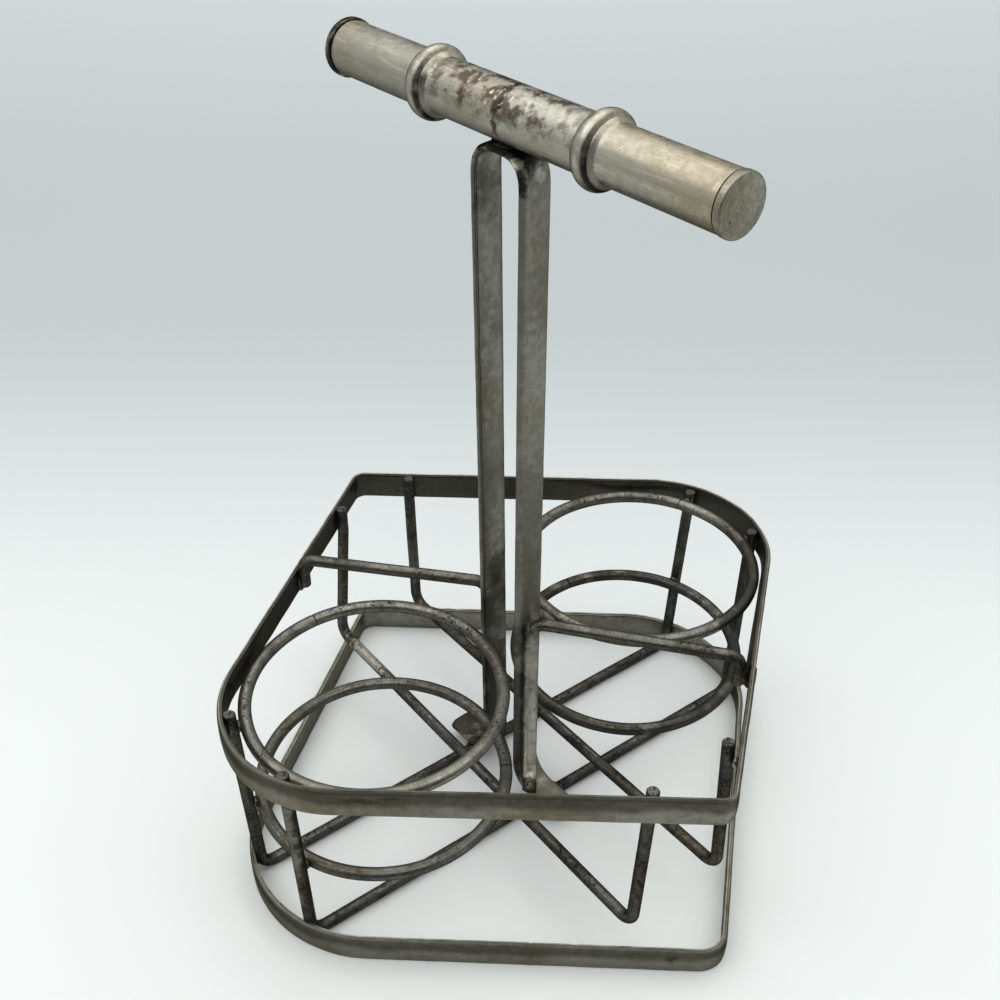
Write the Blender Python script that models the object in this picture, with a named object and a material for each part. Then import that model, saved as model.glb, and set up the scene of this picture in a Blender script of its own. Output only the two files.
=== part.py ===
"""Wire condiment caddy: two flat-strip rims, four bottle rings and a base of bent wire round a centre post.

Metres, +Z up. The caddy stands on Z = 0 with its vertical centre line at the origin. +X is the right hand
side and -Y the front. Seen from above each rim is a leaning four-sided outline: its front left and rear
right corners are wide curves that follow the bottle rings, and its other two corners are tight. The layout
is the same when it is turned half a turn about Z. Its pieces are bent by hand, so the two halves differ by
a few millimetres, and each has its own sizes below.
"""

import bpy
import bmesh
from math import cos, pi, radians, sin, sqrt, tan
from mathutils import Matrix, Quaternion, Vector

# Stock
STRIP_WIDTH = 0.0098
STRIP_THICKNESS = 0.0014
STRIP_CORNER = 0.0003
WIRE = 0.0037
RING_WIRE = 0.0039
WELD_GAP = 0.0003

# Rims: sharp corners of the outer face and the radius there, anticlockwise from the front right
TOP_RIM = (
    (0.0606, -0.0714, 0.0052),
    (0.0911, 0.0716, 0.0370),
    (-0.0578, 0.0719, 0.0052),
    (-0.0923, -0.0725, 0.0363),
)
BOTTOM_RIM = (
    (0.0639, -0.0734, 0.0090),
    (0.0870, 0.0719, 0.0405),
    (-0.0594, 0.0725, 0.0060),
    (-0.0915, -0.0728, 0.0415),
)
REAR_RIGHT = 1
FRONT_LEFT = 3
TOP_RIM_TOP = 0.0725

# The right side of the top rim leans in from its weld to part way round the rear curve: y there and how far
# in its lower edge stands
TOP_RIM_LEAN = ((-0.0209, 0.0), (-0.0199, 0.0018), (0.0269, 0.0011), (0.0397, 0.0))
WELD_STATIONS = 2

# Floor wires carry the bottles. Each end stands in a wide curve of the rims, at one angle for its top and one
# for its foot
FLOOR_WIRE_HEIGHT = 0.0021
FLOOR_WIRE_TOP_DROP = 0.0010
FLOOR_WIRE_ENDS = {
    "left": ((REAR_RIGHT, radians(66.0), radians(64.6)), (FRONT_LEFT, radians(-164.4), radians(-164.0))),
    "right": ((REAR_RIGHT, radians(16.2), radians(14.0)), (FRONT_LEFT, radians(-113.0), radians(-116.9))),
}

# Shelf wires carry the shakers. Each end stands against a straight side: the top's place along that side and
# its stand-off from it, then the foot
SHELF_WIRE_ENDS = {
    "rear": ((-0.0386, 0.0003, (-0.0379, 0.0682, 0.0164)), (-0.0501, 0.0017, (0.0618, -0.0502, 0.0193))),
    "front": ((0.0386, 0.0003, (0.0364, -0.0682, 0.0154)), (0.0501, 0.0003, (-0.0630, 0.0496, 0.0170))),
}
WIRE_BEND = 0.0048

# Bottle rings: radius, height, rise towards the rear and the angle of the joint
RINGS = {
    "upper_ring_rear": (0.0370, 0.0686, -0.015, radians(63.7)),
    "upper_ring_front": (0.0372, 0.0660, 0.020, radians(126.6)),
    "lower_ring_rear": (0.0370, 0.0322, 0.022, radians(121.8)),
    "lower_ring_front": (0.0371, 0.0325, 0.020, radians(4.2)),
}
RING_END_GAP = 0.0004

# Centre post: one strip folded over, whose outer faces stand at these places along the handle
POST_TURN = radians(-47.0)
POST_STRIP_WIDTH = 0.0098
POST_STRIP_THICKNESS = 0.0016
POST_FACES_LOW = (-0.0092, 0.0070)
POST_FACES_HIGH = (-0.0120, 0.0073)
POST_LEG_TOP = 0.2090
FOOT_BEND = 0.0080
FOOT_REACH = (-0.0272, 0.0265)
FOOT_END_ROUND = 0.0013

# Dividers: each one's stand-off from the rim is that of its bend, then of its tail's end
DIVIDER_RIM_Y = 0.0183
DIVIDER_STAND_OFF = {"left": (0.0003, 0.0003), "right": (0.0015, 0.0021)}
DIVIDER_RIM_HEIGHT = {"left": 0.0760, "right": 0.0734}
DIVIDER_POST_HEIGHT = {"left": 0.0765, "right": 0.0742}
DIVIDER_TAIL = 0.0105
DIVIDER_BEND = 0.0036
DIVIDER_END_TURN = radians(75.0)
DIVIDER_END_DRIFT = 0.80

# Handle
HANDLE_HEIGHT = 0.2263
TUBE_RADIUS = 0.0071
TUBE_WALL = 0.0009
TUBE_ENDS = (-0.0650, 0.0662)
BEAD_PLACES = (-0.0293, 0.0293)
BEAD_HALF_WIDTH = 0.0036
BEAD_RISE = 0.0023
CAP_THICKNESS = 0.0020
CAP_OVERHANG = {"left": 0.0006, "right": 0.0002}
CAP_EDGE = 0.0005
CAP_SPIGOT = 0.0040

# Finishes: colour, roughness and metallic value
RIM_STEEL = ((0.205, 0.195, 0.165), 0.42, 0.85)
RING_STEEL = ((0.165, 0.155, 0.135), 0.42, 0.85)
FLOOR_WIRE_STEEL = ((0.140, 0.135, 0.118), 0.44, 0.85)
SHELF_WIRE_STEEL = ((0.165, 0.155, 0.135), 0.42, 0.85)
DIVIDER_STEEL = ((0.180, 0.168, 0.142), 0.40, 0.85)
STRAP_STEEL = ((0.150, 0.150, 0.140), 0.48, 0.80)
TUBE_NICKEL = ((0.450, 0.420, 0.350), 0.32, 0.90)
CAP_NICKEL = ((0.400, 0.375, 0.320), 0.34, 0.90)

# Facets
WIDE_STEPS = 20
TIGHT_STEPS = 6
BEND_STEPS = 7
RING_STEPS = 48
TURNED_SIDES = 36
BEAD_STEPS = 8

UP = Vector((0.0, 0.0, 1.0))
SIDES = ("left", "right")


def clear_scene():
    for thing in list(bpy.data.objects):
        bpy.data.objects.remove(thing, do_unlink=True)


def finish(name, look):
    """a piece's own plain metal finish"""
    colour, roughness, metallic = look
    material = bpy.data.materials.new(name)
    material.use_nodes = True
    shader = material.node_tree.nodes["Principled BSDF"]
    shader.inputs["Base Color"].default_value = (*colour, 1.0)
    shader.inputs["Roughness"].default_value = roughness
    shader.inputs["Metallic"].default_value = metallic
    return material


def add_mesh(name, vertices, faces, look):
    """one closed mesh with its faces pointing out, smooth on its round parts"""
    mesh = bpy.data.meshes.new(name)
    mesh.from_pydata(vertices, [], faces)
    work = bmesh.new()
    work.from_mesh(mesh)
    bmesh.ops.recalc_face_normals(work, faces=work.faces)
    work.to_mesh(mesh)
    work.free()
    mesh.shade_smooth()
    mesh.set_sharp_from_angle(angle=radians(32.0))
    mesh.materials.append(finish(name, look))
    thing = bpy.data.objects.new(name, mesh)
    bpy.context.scene.collection.objects.link(thing)
    return thing


def fillet(before, corner, after, radius, steps):
    """points of the arc that rounds a corner between two straight runs"""
    back = (before - corner).normalized()
    ahead = (after - corner).normalized()
    half_angle = back.angle(ahead) / 2
    setback = radius / tan(half_angle)
    centre = corner + (back + ahead).normalized() * radius / sin(half_angle)
    start = corner + back * setback - centre
    end = corner + ahead * setback - centre
    turn = start.angle(end)
    axis = start.cross(end).normalized()
    return [centre + Quaternion(axis, turn * step / steps) @ start for step in range(steps + 1)]


def inset_corners(corners, inset):
    """the outline's sharp corners and radii after its sides are moved in by inset"""
    places = [Vector((x, y, 0.0)) for x, y, radius in corners]
    moved = []
    for place, corner in enumerate(places):
        before = (corner - places[place - 1]).normalized()
        after = (places[(place + 1) % len(places)] - corner).normalized()
        inward = UP.cross(before) + UP.cross(after)
        reach = inset / cos(before.angle(after) / 2)
        radius = corners[place][2] - inset
        moved.append((corner + inward.normalized() * reach, max(radius, STRIP_THICKNESS)))
    return moved


def rim_outline(corners, inset, lean):
    """the rounded outline, wide at two corners and tight at the other two, with the weld's own points"""
    moved = inset_corners(corners, inset)
    outline = []
    for place, (corner, radius) in enumerate(moved):
        following = moved[(place + 1) % len(moved)][0]
        steps = WIDE_STEPS if place in (REAR_RIGHT, FRONT_LEFT) else TIGHT_STEPS
        outline += fillet(moved[place - 1][0], corner, following, radius, steps)
        if place == 0:
            run = following - corner
            outline += [corner + run * (y - corner.y) / run.y for y, amount in lean[:WELD_STATIONS]]
    return outline


def lean_at(lean, point):
    """how far in the strip's lower edge stands at a place on the right side"""
    if point.x > 0:
        for (start, first), (end, second) in zip(lean, lean[1:]):
            if start <= point.y <= end:
                return first + (second - first) * (point.y - start) / (end - start)
    return 0.0


def curve_centre(corners, place):
    """centre of the curve at one corner of the outline"""
    moved = inset_corners(corners, 0.0)
    corner, radius = moved[place]
    back = (moved[place - 1][0] - corner).normalized()
    ahead = (moved[(place + 1) % len(moved)][0] - corner).normalized()
    return corner + (back + ahead).normalized() * radius / sin(back.angle(ahead) / 2)


def strip_section(width, thickness):
    """section of flat strip with its four corners eased, as (across the thickness, along the width)"""
    ease = STRIP_CORNER
    return [(0.0, ease), (0.0, width - ease), (ease, width), (thickness - ease, width),
            (thickness, width - ease), (thickness, ease), (thickness - ease, 0.0), (ease, 0.0)]


def loft(loops, closed):
    """faces between equal loops of points, joined end to end or closed with two flat ends"""
    count = len(loops[0])
    vertices = [point for loop in loops for point in loop]
    faces = []
    spans = len(loops) if closed else len(loops) - 1
    for span in range(spans):
        this = span * count
        following = (span + 1) % len(loops) * count
        for side in range(count):
            beyond = (side + 1) % count
            faces.append((this + side, this + beyond, following + beyond, following + side))
    if not closed:
        faces.append(tuple(range(count)))
        faces.append(tuple(range((len(loops) - 1) * count, len(loops) * count)))
    return vertices, faces


def rim(name, corners, bottom, lean=()):
    """strip bent on edge round the outline, upright but for its lean"""
    outer = rim_outline(corners, 0.0, lean)
    inner = rim_outline(corners, STRIP_THICKNESS, lean)
    loops = []
    for inset, height in strip_section(STRIP_WIDTH, STRIP_THICKNESS):
        loop = []
        for place, point in enumerate(rim_outline(corners, inset, lean)):
            inward = (inner[place] - outer[place]).normalized()
            shift = lean_at(lean, outer[place]) * (1 - height / STRIP_WIDTH)
            loop.append(point + inward * shift + UP * (bottom + height))
        loops.append(loop)
    return add_mesh(name, *loft(loops, True), RIM_STEEL)


def wire(name, points, thickness, look):
    """round wire along a path of points, with its two ends cut square"""
    curve = bpy.data.curves.new(name, "CURVE")
    curve.dimensions = "3D"
    curve.bevel_depth = thickness / 2
    curve.bevel_resolution = 3
    curve.use_fill_caps = True
    spline = curve.splines.new("POLY")
    spline.points.add(len(points) - 1)
    for place, point in zip(spline.points, points):
        place.co = (*point, 1.0)
    curve.materials.append(finish(name, look))
    thing = bpy.data.objects.new(name, curve)
    bpy.context.scene.collection.objects.link(thing)
    return thing


def bent_path(corners, radius):
    """a path of straight runs whose inner corners are rounded"""
    path = [corners[0]]
    for place in range(1, len(corners) - 1):
        path += fillet(corners[place - 1], corners[place], corners[place + 1], radius, BEND_STEPS)
    return path + [corners[-1]]


def wire_inset():
    """how far a wire's middle stands in from the outer face of the rim that it is brazed to"""
    return STRIP_THICKNESS + WELD_GAP + WIRE / 2


def in_curve(corners, place, angle):
    """plan place of a wire that stands against the inside of a wide curve"""
    reach = corners[place][2] - wire_inset()
    return curve_centre(corners, place) + Vector((cos(angle), sin(angle), 0.0)) * reach


def floor_wire_point(end, height):
    """middle of an upright of a floor wire at a height"""
    place, top_angle, foot_angle = end
    top = in_curve(TOP_RIM, place, top_angle)
    foot = in_curve(BOTTOM_RIM, place, foot_angle)
    share = (height - FLOOR_WIRE_HEIGHT) / (TOP_RIM_TOP - FLOOR_WIRE_HEIGHT)
    return foot.lerp(top, share) + UP * height


def floor_wire_path(side):
    """down inside one wide curve, across the floor and up inside the other"""
    first, second = FLOOR_WIRE_ENDS[side]
    top = TOP_RIM_TOP - FLOOR_WIRE_TOP_DROP
    corners = [floor_wire_point(first, height) for height in (top, FLOOR_WIRE_HEIGHT)]
    corners += [floor_wire_point(second, height) for height in (FLOOR_WIRE_HEIGHT, top)]
    return bent_path(corners, WIRE_BEND)


def ring_centre(name):
    """centre of a ring that rests against an upright of each floor wire"""
    radius, height, rise, joint = RINGS[name]
    end = 0 if name.endswith("rear") else 1
    first = floor_wire_point(FLOOR_WIRE_ENDS["left"][end], height)
    second = floor_wire_point(FLOOR_WIRE_ENDS["right"][end], height)
    reach = radius + RING_WIRE / 2 + WELD_GAP + WIRE / 2
    middle = (first + second) / 2
    across = second - first
    depth = sqrt(reach * reach - across.length_squared / 4)
    inward = UP.cross(across).normalized()
    if inward.dot(middle) > 0:
        inward = -inward
    return middle + inward * depth


def ring_path(name):
    """one turn of wire, whose two ends almost meet at the joint"""
    radius, height, rise, joint = RINGS[name]
    centre = ring_centre(name)
    gap = RING_END_GAP / radius
    path = []
    for step in range(RING_STEPS + 1):
        angle = joint + gap / 2 + (2 * pi - gap) * step / RING_STEPS
        path.append(centre + Vector((cos(angle), sin(angle), sin(angle) * rise)) * radius)
    return path


def against_side(corners, stand_off, x=None, y=None):
    """plan place of a wire inside a straight side, given its x (front, rear) or y (sides), and the way out"""
    moved = [corner for corner, radius in inset_corners(corners, STRIP_THICKNESS + stand_off + WIRE / 2)]
    if x is not None:
        first, second = (moved[1], moved[2]) if x < 0 else (moved[3], moved[0])
        share = (x - first.x) / (second.x - first.x)
    else:
        first, second = (moved[0], moved[1]) if y < 0 else (moved[2], moved[3])
        share = (y - first.y) / (second.y - first.y)
    return first.lerp(second, share), (second - first).normalized().cross(UP)


def upright(foot, place, outward, stand_off):
    """a shelf wire's end, top to foot, bent at the rim's lower edge if it would lean into the rim"""
    top = place + UP * (TOP_RIM_TOP - WELD_GAP)
    lean = (foot - top).dot(outward) * STRIP_WIDTH / (top.z - foot.z)
    if lean < stand_off:
        return [top, foot]
    return [top, place + UP * (TOP_RIM_TOP - STRIP_WIDTH), foot]


def shelf_wire_path(side):
    """down from the front or rear side, across, and up against the left or right side"""
    (x, first_off, first_foot), (y, second_off, second_foot) = SHELF_WIRE_ENDS[side]
    first = upright(Vector(first_foot), *against_side(TOP_RIM, first_off, x=x), first_off)
    second = upright(Vector(second_foot), *against_side(TOP_RIM, second_off, y=y), second_off)
    return bent_path(first + second[::-1], WIRE_BEND)


def post_frame():
    """turns (along the handle, across it, up) into the caddy's own axes"""
    return Matrix.Rotation(POST_TURN, 3, "Z")


def floor_wire_offset(side):
    """how far a floor wire passes from the centre line, along the handle"""
    first, second = [floor_wire_point(end, FLOOR_WIRE_HEIGHT) for end in FLOOR_WIRE_ENDS[side]]
    along = post_frame().col[0]
    across = post_frame().col[1]
    share = first.dot(across) / (first.dot(across) - second.dot(across))
    return abs(first.lerp(second, share).dot(along))


def foot_bend_height(side):
    """height of the centre of a foot's bend, from the floor wire that the foot rests on"""
    reach = FOOT_BEND + POST_STRIP_THICKNESS + WELD_GAP + WIRE / 2
    across = abs(POST_FACES_LOW[SIDES.index(side)]) + FOOT_BEND - floor_wire_offset(side)
    return FLOOR_WIRE_HEIGHT + sqrt(reach * reach - across * across)


def post_face(side, height):
    """distance out to a leg's outer face at a height, along the handle"""
    place = SIDES.index(side)
    low, high = abs(POST_FACES_LOW[place]), abs(POST_FACES_HIGH[place])
    start = foot_bend_height(side)
    return low + (high - low) * (height - start) / (POST_LEG_TOP - start)


def post_stations(side):
    """middle line of one leg and its foot from the top down, as (out, up, tangent, half width)"""
    half_width = POST_STRIP_WIDTH / 2
    half = POST_STRIP_THICKNESS / 2
    place = SIDES.index(side)
    bend = FOOT_BEND + half
    centre_out = abs(POST_FACES_LOW[place]) + FOOT_BEND
    centre_up = foot_bend_height(side)
    stations = [(post_face(side, POST_LEG_TOP) - half, POST_LEG_TOP, (0.0, -1.0), half_width)]
    for step in range(11):
        angle = pi / 2 * step / 10
        stations.append((centre_out - bend * cos(angle), centre_up - bend * sin(angle),
                         (sin(angle), -cos(angle)), half_width))
    for step in range(6):
        angle = pi / 2 * step / 6
        out = abs(FOOT_REACH[place]) - FOOT_END_ROUND * (1 - sin(angle))
        stations.append((out, centre_up - bend, (1.0, 0.0), half_width * (0.4 + 0.6 * cos(angle))))
    return stations


def crown_stations():
    """half circle over the top, from the left leg to the right one, as (along, up, tangent, half width)"""
    left, right = POST_FACES_HIGH
    middle = (left + right) / 2
    radius = (right - left) / 2 - POST_STRIP_THICKNESS / 2
    rise = HANDLE_HEIGHT - TUBE_RADIUS - WELD_GAP - POST_STRIP_THICKNESS / 2 - POST_LEG_TOP
    stations = []
    for step in range(1, 18):
        angle = pi * step / 18
        tangent = Vector((sin(angle) * radius, cos(angle) * rise)).normalized()
        place = (middle - radius * cos(angle), POST_LEG_TOP + rise * sin(angle))
        stations.append((*place, tuple(tangent), POST_STRIP_WIDTH / 2))
    return stations


def post_loop(along, up, tangent, half_width):
    """section of the strip across its line, in the caddy's own axes"""
    frame = post_frame()
    normal = Vector((-tangent[1], 0.0, tangent[0]))
    centre = Vector((along, 0.0, up))
    loop = []
    for depth, width in strip_section(2 * half_width, POST_STRIP_THICKNESS):
        place = centre + normal * (depth - POST_STRIP_THICKNESS / 2) + Vector((0.0, width - half_width, 0.0))
        loop.append(frame @ place)
    return loop


def handle_strap():
    """strip folded over a round crown, with both feet swept outward and their ends rounded"""
    stations = []
    for out, up, tangent, half_width in reversed(post_stations("left")):
        stations.append((-out, up, (tangent[0], -tangent[1]), half_width))
    stations += crown_stations()
    stations += post_stations("right")
    loops = [post_loop(*station) for station in stations]
    return add_mesh("handle_strap", *loft(loops, False), STRAP_STEEL)


def divider_path(side):
    """tail inside the side of the rim, run to the post, and a leg down the post and onto its foot"""
    facing = 1 if side == "right" else -1
    frame = post_frame()
    out = WELD_GAP + WIRE / 2
    rim_height = DIVIDER_RIM_HEIGHT[side]
    ends = []
    for stand_off, height in zip(DIVIDER_STAND_OFF[side], (rim_height, rim_height - DIVIDER_TAIL)):
        place, outward = against_side(TOP_RIM, stand_off, y=-facing * DIVIDER_RIM_Y)
        ends.append(place + UP * height)
    rim_end, tail_end = ends
    centre_up = foot_bend_height(side)
    height = DIVIDER_POST_HEIGHT[side]
    top = Vector((facing * (post_face(side, height) + out), 0.0, height))
    low_out = post_face(side, centre_up) + out
    low = Vector((facing * low_out, 0.0, centre_up))
    path = bent_path([tail_end, rim_end, frame @ top, frame @ low], DIVIDER_BEND)
    bend = FOOT_BEND - out
    for step in range(1, BEND_STEPS + 1):
        angle = DIVIDER_END_TURN * step / BEND_STEPS
        reach = bend * (1 - cos(angle))
        drift = -facing * DIVIDER_END_DRIFT * reach
        path.append(frame @ Vector((facing * (low_out + reach), drift, centre_up - bend * sin(angle))))
    return path


def turned(profile, closed):
    """loops and faces of a piece turned on the handle's axis, from (along, radius) points"""
    frame = post_frame()
    loops = []
    for along, radius in profile:
        loop = []
        for side in range(TURNED_SIDES):
            angle = 2 * pi * side / TURNED_SIDES
            loop.append(frame @ Vector((along, radius * cos(angle), HANDLE_HEIGHT + radius * sin(angle))))
        loops.append(loop)
    return loft(loops, closed)


def tube_line(radius):
    """the tube's long line from left to right, with its two rolled beads"""
    line = [(TUBE_ENDS[0], radius)]
    for middle in BEAD_PLACES:
        for step in range(BEAD_STEPS + 1):
            share = step / BEAD_STEPS
            rise = BEAD_RISE * sin(pi * share) ** 1.5
            line.append((middle - BEAD_HALF_WIDTH * cos(pi * share), radius + rise))
    line.append((TUBE_ENDS[1], radius))
    return line


def handle_tube():
    """thin tube with two beads rolled out of its wall, open at both ends"""
    profile = tube_line(TUBE_RADIUS) + list(reversed(tube_line(TUBE_RADIUS - TUBE_WALL)))
    return add_mesh("handle_tube", *turned(profile, True), TUBE_NICKEL)


def handle_cap(side):
    """disc that closes one end of the tube, with a spigot inside it"""
    facing = 1 if side == "right" else -1
    rim_radius = TUBE_RADIUS + CAP_OVERHANG[side]
    spigot = TUBE_RADIUS - TUBE_WALL - WELD_GAP
    start = TUBE_ENDS[SIDES.index(side)] + facing * WELD_GAP
    face = start + facing * CAP_THICKNESS
    profile = [(start - facing * CAP_SPIGOT, spigot), (start, spigot), (start, rim_radius),
               (face - facing * CAP_EDGE, rim_radius), (face, rim_radius - CAP_EDGE)]
    return add_mesh("handle_cap_" + side, *turned(profile, False), CAP_NICKEL)


def build():
    clear_scene()
    rim("top_rim", TOP_RIM, TOP_RIM_TOP - STRIP_WIDTH, TOP_RIM_LEAN)
    rim("bottom_rim", BOTTOM_RIM, 0.0)
    for name in RINGS:
        wire(name, ring_path(name), RING_WIRE, RING_STEEL)
    for side in FLOOR_WIRE_ENDS:
        wire("floor_wire_" + side, floor_wire_path(side), WIRE, FLOOR_WIRE_STEEL)
    for side in SHELF_WIRE_ENDS:
        wire("shelf_wire_" + side, shelf_wire_path(side), WIRE, SHELF_WIRE_STEEL)
    for side in SIDES:
        wire("divider_" + side, divider_path(side), WIRE, DIVIDER_STEEL)
    handle_strap()
    handle_tube()
    for side in SIDES:
        handle_cap(side)


build()
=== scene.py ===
from math import ceil, cos, pi, radians, sin, sqrt, tan

import bpy
from mathutils import Matrix, Quaternion, Vector, noise


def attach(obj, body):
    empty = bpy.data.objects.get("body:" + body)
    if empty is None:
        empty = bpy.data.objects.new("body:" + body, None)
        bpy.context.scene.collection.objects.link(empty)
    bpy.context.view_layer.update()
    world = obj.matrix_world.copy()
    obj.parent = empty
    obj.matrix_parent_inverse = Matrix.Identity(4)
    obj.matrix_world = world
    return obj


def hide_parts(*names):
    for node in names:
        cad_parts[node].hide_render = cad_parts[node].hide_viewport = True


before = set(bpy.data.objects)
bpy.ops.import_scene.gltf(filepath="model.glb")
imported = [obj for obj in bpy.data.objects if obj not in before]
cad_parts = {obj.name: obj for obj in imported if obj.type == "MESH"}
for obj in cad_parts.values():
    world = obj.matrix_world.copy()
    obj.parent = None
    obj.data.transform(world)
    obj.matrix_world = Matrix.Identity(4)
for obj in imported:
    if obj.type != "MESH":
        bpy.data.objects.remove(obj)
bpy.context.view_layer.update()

UP = Vector((0.0, 0.0, 1.0))


# The rims. Each is one length of flat steel strip, bent on edge round the bottle rings and butt welded into
# a band. The whole frame was plated after brazing; the plate is dull now, with pits and bare worn edges.
STRIP_WIDTH = 0.0098
STRIP_THICKNESS = 0.0014
STRIP_EASE = 0.00048
STRIP_CROWN = 0.00022
TOP_RIM = (
    (0.0606, -0.0714, 0.0052),
    (0.0911, 0.0716, 0.037),
    (-0.0578, 0.0719, 0.0052),
    (-0.0923, -0.0725, 0.0363),
)
BOTTOM_RIM = (
    (0.0639, -0.0734, 0.009),
    (0.087, 0.0719, 0.0405),
    (-0.0594, 0.0725, 0.006),
    (-0.0915, -0.0728, 0.0415),
)
REAR_RIGHT = 1
FRONT_LEFT = 3
TOP_RIM_TOP = 0.0725
TOP_RIM_LEAN = ((-0.0209, 0.0), (-0.0199, 0.0018), (0.0269, 0.0011), (0.0397, 0.0))
TOP_RIM_SEAM = Vector((0.0697, -0.0204, 0.0))
BOTTOM_RIM_SEAM = Vector((0.0078, -0.072, 0.0))
RIM_STEP = 0.0009
SEAM_WIDTH = 0.0007
SEAM_RISE = 0.00018
HAND_WORK = 0.00009
HAND_WORK_SCALES = (95.0, 260.0)
HAND_WORK_ROOM = 1.6
CORNER_STEPS = 4
BAND_SHARP_ANGLE = radians(50.0)
EDGE_TINT = 0.25


class Output:
    """what a node gives, and the nodes that can follow it"""

    def __init__(self, socket):
        self.socket = socket

    def into(self, kind, inputs=None, out=0, **settings):
        """what a further node makes of this, its first input"""
        return output_of(self.socket.id_data, kind, {0: self, **(inputs or {})}, out, **settings)

    def worked(self, operation, other=0.0):
        """one sum on two numbers"""
        return self.into("ShaderNodeMath", {1: other}, operation=operation)

    def __add__(self, other):
        return self.worked("ADD", other)

    def __sub__(self, other):
        return self.worked("SUBTRACT", other)

    def __mul__(self, other):
        return self.worked("MULTIPLY", other)

    def __abs__(self):
        return self.worked("ABSOLUTE")

    def with_vector(self, operation, other):
        """one sum on two vectors"""
        return self.into("ShaderNodeVectorMath", {1: other}, operation=operation)

    def scaled(self, amount):
        """a vector or colour times a number"""
        return self.into("ShaderNodeVectorMath", {"Scale": amount}, operation="SCALE")

    def parts(self):
        """the three numbers of a vector"""
        return [self.into("ShaderNodeSeparateXYZ", out=place) for place in range(3)]

    def ramp(self, start, end, low=0.0, high=1.0):
        """low below start, high above end and smooth between them"""
        limits = {1: start, 2: end, 3: low, 4: high}
        return self.into("ShaderNodeMapRange", limits, interpolation_type="SMOOTHSTEP")

    def cloud(self, scale, detail=3.0, roughness=0.55):
        """soft noise on a place"""
        return self.into("ShaderNodeTexNoise", {"Scale": scale, "Detail": detail, "Roughness": roughness})

    def blend(self, first, second):
        """the first colour where this share is 0 and the second where it is 1"""
        return self.into("ShaderNodeMix", {6: first, 7: second}, 2, data_type="RGBA")


def feed(node, inputs):
    """links a node's inputs or gives them plain values, a colour's alpha at 1"""
    for name, value in inputs.items():
        socket = node.inputs[name]
        if isinstance(value, Output):
            node.id_data.links.new(value.socket, socket)
        elif socket.type == "RGBA":
            socket.default_value = (*value, 1.0)
        else:
            socket.default_value = value


def new_node(tree, kind, inputs=None, **settings):
    """a node with its settings and its inputs"""
    node = tree.nodes.new(kind)
    for name, value in settings.items():
        setattr(node, name, value)
    feed(node, inputs or {})
    return node


def output_of(tree, kind, inputs=None, out=0, **settings):
    """what a new node gives"""
    return Output(new_node(tree, kind, inputs, **settings).outputs[out])


def by_name(node):
    """all that a node gives, by name"""
    return {socket.name: Output(socket) for socket in node.outputs}


def new_group(name, kind, inputs, outputs):
    """an empty group: its tree, its inputs by name and the node that takes its results"""
    tree = bpy.data.node_groups.new(name, kind)
    for in_out, sockets in (("INPUT", inputs), ("OUTPUT", outputs)):
        for label, socket_kind in sockets.items():
            tree.interface.new_socket(name=label, in_out=in_out, socket_type="NodeSocket" + socket_kind)
    return tree, by_name(tree.nodes.new("NodeGroupInput")), tree.nodes.new("NodeGroupOutput")


def tarnished_plate():
    """clouds of dull film over old plate, streaks along the metal, pits and bare worn edges"""
    inputs = {"Place": "Vector", "Grain": "Vector", "Worn Edge": "Float", "Bare": "Color", "Film": "Color",
              "Film Cover": "Float", "Pit Cover": "Float", "Streaks": "Float"}
    outputs = {"Color": "Color", "Roughness": "Float", "Metallic": "Float", "Height": "Float"}
    tree, given, result = new_group("tarnished_plate", "ShaderNodeTree", inputs, outputs)
    place, bare, pit_cover = given["Place"], given["Bare"], given["Pit Cover"]
    clouds = place.cloud(48.0, 5.0)
    mottle = place.cloud(430.0, 4.0, 0.68)
    streaks = given["Grain"].with_vector("MULTIPLY", (85.0, 1500.0, 1500.0)).cloud(1.0)
    middle = given["Film Cover"].ramp(0.0, 1.0, 0.6, 0.4)
    film = (clouds * 0.4 + mottle * 0.34 + streaks * 0.26).ramp(middle - 0.13, middle + 0.13)
    bright = bare.scaled(1.45)
    colour = film.blend(bare, given["Film"])
    colour = (streaks.ramp(0.52, 0.68) * given["Streaks"]).blend(colour, bright)
    warm = colour.with_vector("MULTIPLY", (0.97, 0.89, 0.79))
    colour = place.cloud(24.0).ramp(0.5, 0.66).blend(colour, warm)
    wear = given["Worn Edge"] * place.cloud(160.0).ramp(0.34, 0.62)
    colour = wear.blend(colour, bright)
    pit_edge = pit_cover.ramp(0.0, 1.0, 0.72, 0.5)
    pits = place.cloud(950.0, 3.0, 0.65).ramp(pit_edge, pit_edge + 0.05)
    pits = pits * place.cloud(95.0, 2.0).ramp(0.44, 0.56)
    rough_skin = pit_cover.ramp(0.15, 0.55)
    darkest = rough_skin.ramp(0.0, 1.0, 0.96, 0.74)
    lightest = rough_skin.ramp(0.0, 1.0, 1.03, 1.22)
    colour = colour.scaled(place.cloud(1700.0, 2.0).ramp(0.32, 0.68, darkest, lightest))
    feed(result, {
        "Color": (pits * 0.92).blend(colour, (0.012, 0.01, 0.008)),
        "Roughness": film.ramp(0.0, 1.0, 0.3, 0.4) + mottle.ramp(0.35, 0.65, -0.05, 0.09) + pits * 0.25,
        "Metallic": pits.ramp(0.0, 1.0, 0.96, 0.45),
        "Height": mottle * 0.55 + streaks * 0.35 - pits * 0.8,
    })
    return tree


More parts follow.
